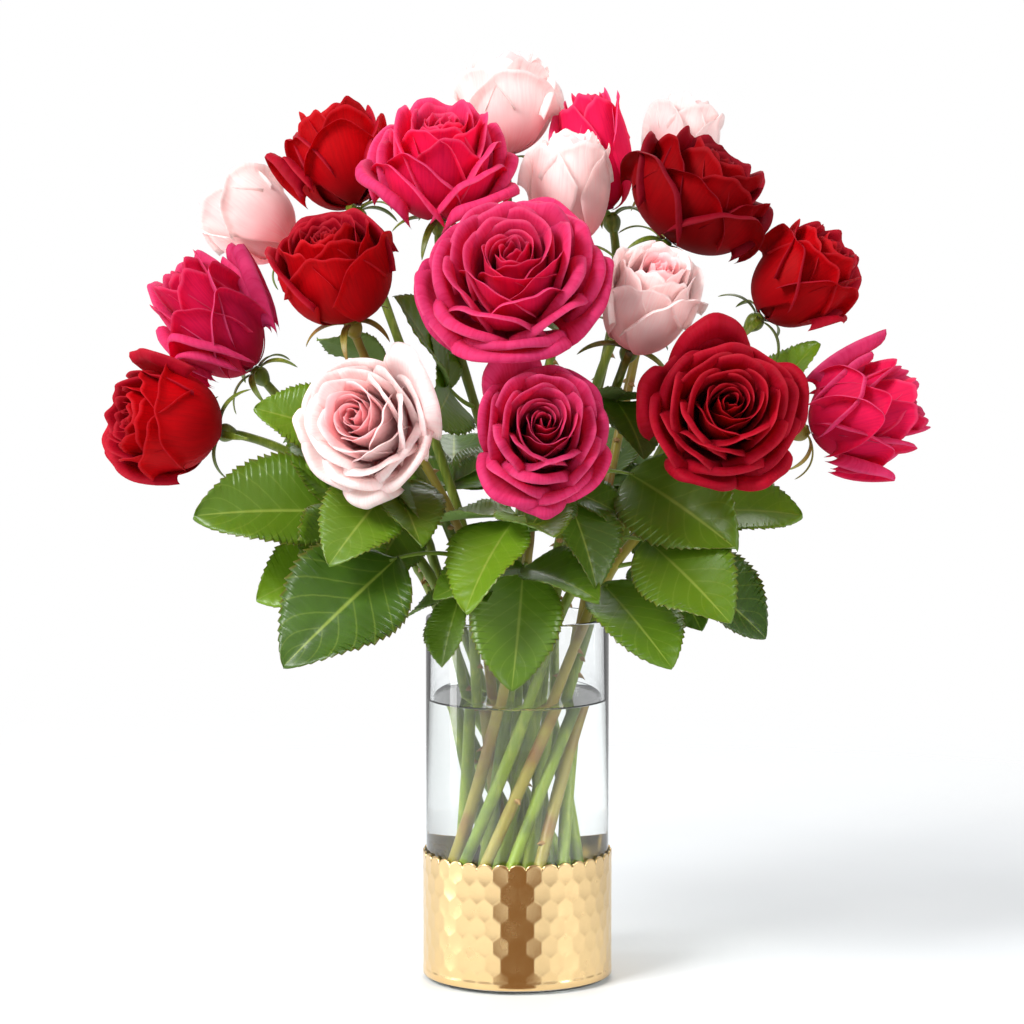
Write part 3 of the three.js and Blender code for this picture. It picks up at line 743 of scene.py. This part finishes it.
def leaf_shape(entry, width):
    """A compound leaf: a quadratic Bezier stalk, an end leaflet and pairs beside it."""
    name, number, level, tip, reach, arch, twist, pairs, size, tone = entry
    rng = np.random.default_rng(500 + int(name.split("_")[1]))
    _, bend, _, _ = stem_line(ROSES[number - 1])
    at = int(np.argmax(bend[:, 2] >= level))
    start, along = bend[at], unit(bend[min(at + 1, BEND_POINTS - 1)] - bend[at - 1])
    tip = np.array(tip, float)
    corner = start + (tip - start) * reach
    corner[2] = start[2] + arch
    outward = unit(corner - start)
    start = start + outward * (STEM_FOOT - 0.6)
    t = np.linspace(0, 1, STALK_POINTS)[:, None]
    stalk = (1 - t) ** 2 * start + 2 * t * (1 - t) * corner + t**2 * tip
    lengths = np.concatenate([[0], np.cumsum(np.linalg.norm(np.diff(stalk, axis=0), axis=1))])
    total = lengths[-1]
    end_at = max(1 - size / total, 0.12)

    def stalk_at(share):
        i = min(int(np.searchsorted(lengths, share * total)), STALK_POINTS - 2)
        return stalk[i], unit(stalk[i + 1] - stalk[i])

    run = unit([tip[0] - start[0], tip[1] - start[1], 0])
    side = np.cross([0, 0, 1], run)
    shape = Shape()
    grids = []

    def add_leaflet(share, turn, length):
        base, heading = stalk_at(share)
        if turn == 0:
            heading = unit(tip - base)
        face = rotate(np.cross(heading, side), heading, twist)
        heading = rotate(heading, face, turn)
        grids.append(leaflet_grid(base, heading, face, length, width * length, rng))

    add_leaflet(end_at, 0, size)
    for share, length in SIDE_LEAFLETS[: max(pairs, FULLER.get(name, 0))]:
        for turn in (SIDE_LEAFLET_TURN, -SIDE_LEAFLET_TURN):
            add_leaflet(end_at * share, turn, size * length)
    points = np.array([g[0] for g in grids])
    uv = np.array([g[1] for g in grids])
    tones = tone + rng.uniform(-0.15, 0.15, len(grids))[:, None, None]
    add_sheets(shape, points, LEAFLET_THICKNESS, uv, 0.0, tones, 0.0)
    last = int(np.searchsorted(lengths, (end_at + 0.04) * total))
    line = stalk[: last + 1 : 4]
    add_tube(shape, line, np.linspace(1.35, 0.8, len(line)), 10, tone, 1.0)
    return shape


# ---- Materials ----


def output(tree, shader):
    node(tree, "ShaderNodeOutputMaterial", {"Surface": shader})


def petal_material(name, face, back, rim, heart, vein):
    """Living rose petal: velvety cell walls scatter light, the back is paler, the lit sheet glows.

    The eye sees a deeper colour in the heart and at each petal's base, partly the petals' own and
    partly painted shade of the crevices between them, fine veins that fan from the base about 1.5 mm
    apart, a thin lighter rim, and almost no gloss.
    """
    material, tree = new_material(name)
    uv = node(tree, "ShaderNodeUVMap", uv_map="surface")
    parts = node(tree, "ShaderNodeSeparateXYZ", {0: uv.outputs[0]})
    value = {}
    for label in VALUE_NAMES:
        value[label] = node(tree, "ShaderNodeAttribute", attribute_name=label).outputs["Fac"]
    body = node(tree, "ShaderNodeMix", {0: value["side"], 6: back, 7: face}, data_type="RGBA")
    # a deeper colour on the inner face at each petal's base and on the inner petals: partly the petals' own
    # colour, partly painted shade of the crevices between petals
    depth = node(
        tree,
        "ShaderNodeMapRange",
        {0: parts.outputs[1], 1: 0.1, 2: 0.7, 3: 1.0, 4: 0.0},
        interpolation_type="SMOOTHSTEP",
    )
    within = node(tree, "ShaderNodeMath", {0: depth.outputs[0], 1: value["side"]}, operation="MULTIPLY")
    inner = node(tree, "ShaderNodeMapRange", {0: value["layer"], 1: 0.0, 2: 0.5, 3: 0.6, 4: 0.0})
    heart_and_shade = node(tree, "ShaderNodeMath", {0: within.outputs[0], 1: inner.outputs[0]}, operation="MAXIMUM")
    body = node(tree, "ShaderNodeMix", {0: heart_and_shade.outputs[0], 6: body.outputs[2], 7: heart}, data_type="RGBA")
    # veins: about 34 across a petal 50 mm wide, wandering a little
    stretch = node(tree, "ShaderNodeMapping", {0: uv.outputs[0], 3: (34, 3, 1)})
    veins = node(
        tree, "ShaderNodeTexNoise", {0: stretch.outputs[0], "Scale": 1.0, "Detail": 3.0, "Roughness": 0.6}
    )
    veined = node(tree, "ShaderNodeMapRange", {0: veins.outputs[0], 1: 0.42, 2: 0.7, 3: 0.0, 4: 0.5})
    body = node(tree, "ShaderNodeMix", {0: veined.outputs[0], 6: body.outputs[2], 7: vein}, data_type="RGBA")
    rim_at = node(
        tree,
        "ShaderNodeMapRange",
        {0: value["extra"], 1: 0.0, 2: 0.05, 3: 0.25, 4: 0.0},
        interpolation_type="SMOOTHSTEP",
    )
    body = node(tree, "ShaderNodeMix", {0: rim_at.outputs[0], 6: body.outputs[2], 7: rim}, data_type="RGBA")
    place = node(tree, "ShaderNodeTexCoord")
    cloud = node(tree, "ShaderNodeTexNoise", {0: place.outputs["Object"], "Scale": 45.0, "Detail": 2.0})
    light = node(tree, "ShaderNodeMapRange", {0: cloud.outputs[0], 1: 0.3, 2: 0.7, 3: 0.9, 4: 1.06})
    # each bloom's lightness, which is partly painted light and shade, with random differences from petal to
    # petal
    shade = node(tree, "ShaderNodeMapRange", {0: value["tone"], 1: -1.0, 2: 1.0, 3: 0.55, 4: 1.3})
    both = node(tree, "ShaderNodeMath", {0: light.outputs[0], 1: shade.outputs[0]}, operation="MULTIPLY")
    body = node(tree, "ShaderNodeHueSaturation", {"Value": both.outputs[0], "Color": body.outputs[2]})
    ribs = node(tree, "ShaderNodeBump", {"Strength": 0.25, "Distance": 0.0004, "Height": veins.outputs[0]})
    shader = node(
        tree,
        "ShaderNodeBsdfPrincipled",
        {
            "Base Color": body.outputs[0],
            "Roughness": 0.6,
            "Specular IOR Level": 0.12,
            "Sheen Weight": 0.2,
            "Sheen Roughness": 0.4,
            "Sheen Tint": rim,
            "Normal": ribs.outputs[0],
        },
    )
    glow = node(tree, "ShaderNodeBsdfTranslucent", {"Color": body.outputs[0]})
    mixed = node(tree, "ShaderNodeMixShader", {0: 0.42, 1: shader.outputs[0], 2: glow.outputs[0]})
    output(tree, mixed.outputs[0])
    return material


def leaf_material():
    """Rose leaf: a waxed blade, dark and glossy above, paler and duller below.

    The eye sees a pale midrib, side veins about 9 mm apart, brownish teeth and light coming through.
    """
    material, tree = new_material("rose_leaf_waxed")
    uv = node(tree, "ShaderNodeUVMap", uv_map="surface")
    parts = node(tree, "ShaderNodeSeparateXYZ", {0: uv.outputs[0]})
    value = {}
    for label in VALUE_NAMES:
        value[label] = node(tree, "ShaderNodeAttribute", attribute_name=label).outputs["Fac"]
    tone = node(tree, "ShaderNodeMapRange", {0: value["tone"], 1: -0.6, 2: 1.0, 3: 0.0, 4: 1.0})
    body = node(
        tree,
        "ShaderNodeMix",
        {0: tone.outputs[0], 6: linear("#22400F"), 7: linear("#7FA41E")},
        data_type="RGBA",
    )
    place = node(tree, "ShaderNodeTexCoord")
    cloud = node(tree, "ShaderNodeTexNoise", {0: place.outputs["Object"], "Scale": 60.0, "Detail": 4.0})
    patch = node(tree, "ShaderNodeMapRange", {0: cloud.outputs[0], 1: 0.35, 2: 0.7, 3: 0.0, 4: 0.35})
    body = node(
        tree,
        "ShaderNodeMix",
        {0: patch.outputs[0], 6: body.outputs[2], 7: linear("#557D18")},
        data_type="RGBA",
    )
    # distance from the midrib, 0 to 1
    centred = node(tree, "ShaderNodeMath", {0: parts.outputs[0], 1: 0.5}, operation="SUBTRACT")
    off = node(tree, "ShaderNodeMath", {0: centred.outputs[0]}, operation="ABSOLUTE")
    midrib = node(tree, "ShaderNodeMapRange", {0: off.outputs[0], 1: 0.006, 2: 0.022, 3: 0.75, 4: 0.0})
    # side veins: along the leaflet less 0.64 times the way across
    slant = node(
        tree, "ShaderNodeMath", {0: off.outputs[0], 1: -0.64, 2: parts.outputs[1]}, operation="MULTIPLY_ADD"
    )
    times = node(tree, "ShaderNodeMath", {0: slant.outputs[0], 1: SIDE_VEINS}, operation="MULTIPLY")
    wrap = node(tree, "ShaderNodeMath", {0: times.outputs[0], 1: 0.5}, operation="PINGPONG")
    side_vein = node(tree, "ShaderNodeMapRange", {0: wrap.outputs[0], 1: 0.0, 2: 0.07, 3: 0.28, 4: 0.0})
    lines = node(
        tree, "ShaderNodeMath", {0: midrib.outputs[0], 1: side_vein.outputs[0]}, operation="MAXIMUM"
    )
    below = node(tree, "ShaderNodeMath", {0: value["side"], 1: 0.55}, operation="MULTIPLY")
    edge = node(tree, "ShaderNodeMapRange", {0: off.outputs[0], 1: 0.475, 2: 0.5, 3: 0.0, 4: 0.55})
    # veins, then the paler underside, the brown teeth and the stalk
    for share, code in (
        (lines.outputs[0], "#9DB048"),
        (below.outputs[0], "#8DA56B"),
        (edge.outputs[0], "#7A5A22"),
        (value["extra"], "#86A03A"),
    ):
        body = node(tree, "ShaderNodeMix", {0: share, 6: body.outputs[2], 7: linear(code)}, data_type="RGBA")
    net = node(
        tree,
        "ShaderNodeTexVoronoi",
        {0: place.outputs["Object"], "Scale": 700.0},
        feature="DISTANCE_TO_EDGE",
    )
    relief = node(tree, "ShaderNodeBump", {"Strength": 0.12, "Distance": 0.0005, "Height": net.outputs[0]})
    dull = node(tree, "ShaderNodeMapRange", {0: value["side"], 1: 0.0, 2: 1.0, 3: 0.36, 4: 0.62})
    shader = node(
        tree,
        "ShaderNodeBsdfPrincipled",
        {
            "Base Color": body.outputs[2],
            "Roughness": dull.outputs[0],
            "Specular IOR Level": 0.55,
            "Normal": relief.outputs[0],
        },
    )
    glow = node(tree, "ShaderNodeBsdfTranslucent", {"Color": linear("#A8C832")})
    mixed = node(tree, "ShaderNodeMixShader", {0: 0.22, 1: shader.outputs[0], 2: glow.outputs[0]})
    output(tree, mixed.outputs[0])
    return material


def stem_material():
    """Rose cane: smooth green bark, fresher under water and olive above, some of it woody.

    The eye sees long pale streaks, red-brown patches on the old canes, reddish thorns and a cream
    cut end.
    """
    material, tree = new_material("rose_cane_bark")
    value = {}
    for label in VALUE_NAMES:
        value[label] = node(tree, "ShaderNodeAttribute", attribute_name=label).outputs["Fac"]
    place = node(tree, "ShaderNodeTexCoord")
    parts = node(tree, "ShaderNodeSeparateXYZ", {0: place.outputs["Object"]})
    height = node(tree, "ShaderNodeMapRange", {0: parts.outputs[2], 1: 0.12, 2: 0.26, 3: 0.0, 4: 1.0})
    body = node(
        tree,
        "ShaderNodeMix",
        {0: height.outputs[0], 6: linear("#7C9418"), 7: linear("#64761C")},
        data_type="RGBA",
    )
    stretch = node(tree, "ShaderNodeMapping", {0: place.outputs["Object"], 3: (400, 400, 25)})
    streak = node(tree, "ShaderNodeTexNoise", {0: stretch.outputs[0], "Scale": 1.0, "Detail": 3.0})
    streaks = node(tree, "ShaderNodeMapRange", {0: streak.outputs[0], 1: 0.5, 2: 0.75, 3: 0.0, 4: 0.45})
    body = node(
        tree,
        "ShaderNodeMix",
        {0: streaks.outputs[0], 6: body.outputs[2], 7: linear("#B4B850")},
        data_type="RGBA",
    )
    patchy = node(tree, "ShaderNodeTexNoise", {0: place.outputs["Object"], "Scale": 38.0, "Detail": 3.0})
    dark = node(tree, "ShaderNodeMapRange", {0: patchy.outputs[0], 1: 0.5, 2: 0.7, 3: 0.0, 4: 0.8})
    body = node(
        tree,
        "ShaderNodeMix",
        {0: dark.outputs[0], 6: body.outputs[2], 7: linear("#3E5410")},
        data_type="RGBA",
    )
    wood = node(tree, "ShaderNodeMapRange", {0: value["tone"], 1: 0.6, 2: 0.9, 3: 0.0, 4: 0.9})
    bark = node(
        tree,
        "ShaderNodeMix",
        {0: dark.outputs[0], 6: linear("#9A8A34"), 7: linear("#7A2E16")},
        data_type="RGBA",
    )
    body = node(
        tree, "ShaderNodeMix", {0: wood.outputs[0], 6: body.outputs[2], 7: bark.outputs[2]}, data_type="RGBA"
    )
    thorn = node(tree, "ShaderNodeMapRange", {0: value["extra"], 1: 0.5, 2: 1.0, 3: 0.0, 4: 0.75})
    body = node(
        tree,
        "ShaderNodeMix",
        {0: thorn.outputs[0], 6: body.outputs[2], 7: linear("#9A6A3A")},
        data_type="RGBA",
    )
    cut = node(tree, "ShaderNodeMapRange", {0: value["layer"], 1: 0.05, 2: 0.3, 3: 0.0, 4: 1.0})
    body = node(
        tree,
        "ShaderNodeMix",
        {0: cut.outputs[0], 6: body.outputs[2], 7: linear("#E4E2B8")},
        data_type="RGBA",
    )
    relief = node(tree, "ShaderNodeBump", {"Strength": 0.3, "Distance": 0.0004, "Height": streak.outputs[0]})
    shader = node(
        tree,
        "ShaderNodeBsdfPrincipled",
        {
            "Base Color": body.outputs[2],
            "Roughness": 0.42,
            "Normal": relief.outputs[0],
        },
    )
    output(tree, shader.outputs[0])
    return material


def clear_material(name, tint, ior):
    """Clear body that bends light and lets lamps through, so that what stands in it is lit."""
    material, tree = new_material(name)
    solid = node(
        tree,
        "ShaderNodeBsdfPrincipled",
        {"Base Color": tint, "Roughness": 0.0, "IOR": ior, "Transmission Weight": 1.0},
    )
    through = node(tree, "ShaderNodeBsdfTransparent", {"Color": tint})
    path = node(tree, "ShaderNodeLightPath")
    mixed = node(
        tree,
        "ShaderNodeMixShader",
        {0: path.outputs["Is Shadow Ray"], 1: solid.outputs[0], 2: through.outputs[0]},
    )
    output(tree, mixed.outputs[0])
    return material


def gold_material(colour):
    """Gold plate, satin: a soft wide gleam, a little cloudy, with fine handling marks.

    The side against the glass is gold as well, but is painted dark olive: a painted reflection of the
    dark water it faces.
    """
    material, tree = new_material("gold_plate_satin")
    # the side against the glass: its dark olive is a painted reflection of the dark water it faces
    inner = node(tree, "ShaderNodeAttribute", attribute_name="layer")
    body = node(
        tree, "ShaderNodeMix", {0: inner.outputs["Fac"], 6: colour, 7: linear("#5C4A1C")}, data_type="RGBA"
    )
    place = node(tree, "ShaderNodeTexCoord")
    cloud = node(tree, "ShaderNodeTexNoise", {0: place.outputs["Object"], "Scale": 120.0, "Detail": 4.0})
    rough = node(tree, "ShaderNodeMapRange", {0: cloud.outputs[0], 1: 0.3, 2: 0.7, 3: 0.2, 4: 0.28})
    grain = node(tree, "ShaderNodeTexNoise", {0: place.outputs["Object"], "Scale": 1500.0, "Detail": 2.0})
    relief = node(tree, "ShaderNodeBump", {"Strength": 0.08, "Distance": 0.0002, "Height": grain.outputs[0]})
    shader = node(
        tree,
        "ShaderNodeBsdfPrincipled",
        {
            "Base Color": body.outputs[2],
            "Metallic": 1.0,
            "Roughness": rough.outputs[0],
            "Normal": relief.outputs[0],
        },
    )
    output(tree, shader.outputs[0])
    return material


def floor_material():
    """Matt white table top that fades into the white round it 0.35 to 1.1 m from the vase."""
    material, tree = new_material("table_top_matt_white")
    place = node(tree, "ShaderNodeTexCoord")
    far = node(tree, "ShaderNodeVectorMath", {0: place.outputs["Object"]}, operation="LENGTH")
    fade = node(
        tree,
        "ShaderNodeMapRange",
        {0: far.outputs["Value"], 1: 0.35, 2: 1.1, 3: 0.0, 4: 1.0},
        interpolation_type="SMOOTHSTEP",
    )
    cloud = node(tree, "ShaderNodeTexNoise", {0: place.outputs["Object"], "Scale": 8.0, "Detail": 2.0})
    body = node(
        tree,
        "ShaderNodeMix",
        {0: cloud.outputs[0], 6: linear("#E9EDF0"), 7: linear("#EEF1F3")},
        data_type="RGBA",
    )
    shader = node(tree, "ShaderNodeBsdfPrincipled", {"Base Color": body.outputs[2], "Roughness": 0.55})
    clear = node(tree, "ShaderNodeBsdfTransparent")
    mixed = node(
        tree, "ShaderNodeMixShader", {0: fade.outputs[0], 1: shader.outputs[0], 2: clear.outputs[0]}
    )
    output(tree, mixed.outputs[0])
    return material


def card_material():
    """A card that glows a dim, even brown of its own, with no lamp on it; it stands for the dark
    studio in front that the gold band reflects.
    """
    material, tree = new_material("card_brown_paper")
    place = node(tree, "ShaderNodeTexCoord")
    card_mottle = node(tree, "ShaderNodeTexNoise", {0: place.outputs["Object"], "Scale": 200.0})
    body = node(
        tree,
        "ShaderNodeMix",
        {0: card_mottle.outputs[0], 6: linear("#9A7A58"), 7: linear("#8C6C4C")},
        data_type="RGBA",
    )
    output(tree, node(tree, "ShaderNodeEmission", {"Color": body.outputs[2], "Strength": 1.0}).outputs[0])
    return material


# ---- Settings ----


def colour_property(label, words, code):
    return bpy.props.FloatVectorProperty(
        name=label, description=words, subtype="COLOR", size=4, min=0.0, max=1.0, default=linear(code)
    )


class VaseSettings(bpy.types.PropertyGroup):
    """Sizes and colours of the vase."""

    water_level: bpy.props.FloatProperty(
        name="Water level",
        description="Height of the water in millimetres",
        default=156.0,
        min=20.0,
        max=190.0,
    )
    cell_depth: bpy.props.FloatProperty(
        name="Cell depth",
        description="How far the band's cells are pressed in, in millimetres",
        default=0.38,
        min=0.0,
        max=1.0,
    )
    gold: colour_property("Gold", "Colour of the plated band", "#EBCA94")
    glass_tint: colour_property("Glass", "Tint of the clear glass", "#FEFFFF")
    water_tint: colour_property("Water", "Tint of the water", "#FEFFFD")


class RoseSettings(bpy.types.PropertyGroup):
    """Sizes and colours of the roses."""

    petal_thickness: bpy.props.FloatProperty(
        name="Petal thickness",
        description="Thickness of a petal in millimetres",
        default=0.35,
        min=0.2,
        max=1.0,
    )
    petal_roll: bpy.props.FloatProperty(
        name="Petal roll", description="How far the petals' rims roll back", default=1.0, min=0.0, max=1.6
    )
    leaflet_width: bpy.props.FloatProperty(
        name="Leaflet width",
        description="Width of a leaflet as a share of its length",
        default=0.72,
        min=0.4,
        max=0.9,
    )
    red: colour_property("Red", "Inner face of the red petals", "#E00010")
    hot_pink: colour_property("Hot pink", "Inner face of the hot pink petals", "#FF2468")
    pale: colour_property("Pale pink", "Inner face of the pale petals", "#FFF0EE")


# ---- Operators ----


class ROSES_OT_glass(bpy.types.Operator):
    """Builds the clear glass cylinder vase"""

    bl_idname = "roses.glass"
    bl_label = "Glass Vase"

    def execute(self, context):
        settings = context.scene.vase_settings
        material = clear_material("soda_lime_glass_polished", tuple(settings.glass_tint), 1.5)
        make_piece("glass_vase", glass_shape(), material, "vase_glass")
        return {"FINISHED"}


class ROSES_OT_band(bpy.types.Operator):
    """Builds the gold band with its pressed cells"""

    bl_idname = "roses.band"
    bl_label = "Gold Band"

    def execute(self, context):
        settings = context.scene.vase_settings
        shape = band_shape(settings.cell_depth)
        make_piece("honeycomb_band", shape, gold_material(tuple(settings.gold)), "gold_band")
        return {"FINISHED"}


class ROSES_OT_water(bpy.types.Operator):
    """Fills the vase with water"""

    bl_idname = "roses.water"
    bl_label = "Water"

    def execute(self, context):
        settings = context.scene.vase_settings
        material = clear_material("fresh_water", tuple(settings.water_tint), 1.333)
        make_piece("vase_water", water_shape(settings.water_level), material, "water")
        return {"FINISHED"}


class ROSES_OT_stems(bpy.types.Operator):
    """Builds the stems with their thorns, hips and sepals"""

    bl_idname = "roses.stems"
    bl_label = "Stems"

    def execute(self, context):
        material = stem_material()
        for index, rose in enumerate(ROSES):
            make_piece(rose[0] + "_cane", stem_shape(rose, index), material, rose[0] + "_stem")
        return {"FINISHED"}


class ROSES_OT_blooms(bpy.types.Operator):
    """Builds the blooms petal by petal"""

    bl_idname = "roses.blooms"
    bl_label = "Blooms"

    def execute(self, context):
        settings = context.scene.rose_settings
        materials = {
            colour: petal_material(name, tuple(getattr(settings, colour)), *map(linear, codes))
            for colour, (name, *codes) in PETALS.items()
        }
        for rose in ROSES:
            colour = rose[0].split("_rose")[0]
            shape = bloom_shape(rose, settings.petal_thickness, settings.petal_roll)
            make_piece(rose[0] + "_petals", shape, materials[colour], rose[0] + "_bloom")
        return {"FINISHED"}


class ROSES_OT_leaves(bpy.types.Operator):
    """Builds the compound leaves"""

    bl_idname = "roses.leaves"
    bl_label = "Leaves"

    def execute(self, context):
        settings = context.scene.rose_settings
        material = leaf_material()
        for entry in LEAVES:
            shape = leaf_shape(entry, settings.leaflet_width)
            make_piece(entry[0].replace("leaf", "foliage"), shape, material, entry[0])
        return {"FINISHED"}


class ROSES_OT_stage(bpy.types.Operator):
    """Builds the table top, the studio light and the camera"""

    bl_idname = "roses.stage"
    bl_label = "Stage"

    def execute(self, context):
        scene = context.scene
        scene.view_settings.view_transform = "Standard"
        mesh = bpy.data.meshes.new("table_top")
        radius, sides = 1.3, 64
        turn = np.linspace(0, 2 * np.pi, sides + 1)[:-1]
        disc = np.stack([radius * np.cos(turn), radius * np.sin(turn), 0 * turn - 0.0005], 1)
        mesh.from_pydata(disc.tolist(), [], [list(range(sides))])
        mesh.materials.append(floor_material())
        floor = bpy.data.objects.new("table_top", mesh)
        scene.collection.objects.link(floor)

        world = bpy.data.worlds.new("studio_white")
        world.use_nodes = True
        tree = world.node_tree
        tree.nodes.clear()
        path = node(tree, "ShaderNodeLightPath")
        seen = node(
            tree,
            "ShaderNodeMath",
            {0: path.outputs["Is Camera Ray"], 1: path.outputs["Is Transmission Ray"]},
            operation="MAXIMUM",
        )
        strength = node(tree, "ShaderNodeMapRange", {0: seen.outputs[0], 1: 0.0, 2: 1.0, 3: 0.55, 4: 1.0})
        white = node(tree, "ShaderNodeBackground", {"Color": (1, 1, 1, 1), "Strength": strength.outputs[0]})
        node(tree, "ShaderNodeOutputWorld", {"Surface": white.outputs[0]})
        scene.world = world

        # a glowing brown card bent from the floor up, close in front and seen only in reflections, gives the
        # gold band its dark stripe
        card_mesh = bpy.data.meshes.new("reflection_card")
        corners = [(x, y, z) for y, z in ((-0.056, 0.0003), (-0.17, 0.0003), (-0.17, 0.12)) for x in (-1, 1)]
        corners = [(x * (0.012 + 0.4 * (-y - 0.056)), y, z) for x, y, z in corners]
        card_mesh.from_pydata(corners, [], [(0, 1, 3, 2), (2, 3, 5, 4)])
        card_mesh.materials.append(card_material())
        card = bpy.data.objects.new("reflection_card", card_mesh)
        card.visible_camera = card.visible_diffuse = card.visible_transmission = card.visible_shadow = False
        scene.collection.objects.link(card)

        aim = Vector((0, 0, 0.3))
        for name, place, size, power in (
            ("key_softbox", (-1.35, -1.4, 1.75), (0.9, 0.9), 62),
            ("fill_softbox", (1.9, -1.0, 0.9), (0.7, 1.4), 16),
            ("left_strip", (-1.7, -0.1, 0.5), (0.35, 1.4), 9),
            ("back_softbox", (0.3, 1.8, 1.9), (1.2, 0.8), 16),
        ):
            lamp = bpy.data.lights.new(name, "AREA")
            lamp.shape = "RECTANGLE"
            lamp.size, lamp.size_y = size
            lamp.energy = power
            light = bpy.data.objects.new(name, lamp)
            light.location = place
            light.rotation_euler = (aim - Vector(place)).to_track_quat("-Z", "Y").to_euler()
            scene.collection.objects.link(light)

        lens = bpy.data.cameras.new("camera")
        lens.lens = 127
        lens.sensor_width = 36
        camera = bpy.data.objects.new("camera", lens)
        camera.location = (0, -2.0, 0.443)
        target = Vector((-0.003, 0, 0.261))
        camera.rotation_euler = (target - camera.location).to_track_quat("-Z", "Y").to_euler()
        scene.collection.objects.link(camera)
        scene.camera = camera
        return {"FINISHED"}


class ROSES_PT_panel(bpy.types.Panel):
    bl_idname = "ROSES_PT_panel"
    bl_label = "Roses in a Vase"
    bl_space_type = "VIEW_3D"
    bl_region_type = "UI"
    bl_category = "Roses"

    def draw(self, context):
        for group in (context.scene.vase_settings, context.scene.rose_settings):
            for name in group.__annotations__:
                self.layout.prop(group, name)
        for operator in OPERATORS:
            self.layout.operator(operator.bl_idname)


OPERATORS = (
    ROSES_OT_glass,
    ROSES_OT_band,
    ROSES_OT_water,
    ROSES_OT_stems,
    ROSES_OT_blooms,
    ROSES_OT_leaves,
    ROSES_OT_stage,
)
CLASSES = (VaseSettings, RoseSettings, *OPERATORS, ROSES_PT_panel)


def register():
    for item in CLASSES:
        bpy.utils.register_class(item)
    bpy.types.Scene.vase_settings = bpy.props.PointerProperty(type=VaseSettings)
    bpy.types.Scene.rose_settings = bpy.props.PointerProperty(type=RoseSettings)


def unregister():
    del bpy.types.Scene.rose_settings
    del bpy.types.Scene.vase_settings
    for item in reversed(CLASSES):
        bpy.utils.unregister_class(item)


def main():
    register()
    for step in ("glass", "band", "water", "stems", "blooms", "leaves", "stage"):
        getattr(bpy.ops.roses, step)()


if __name__ == "__main__":
    main()
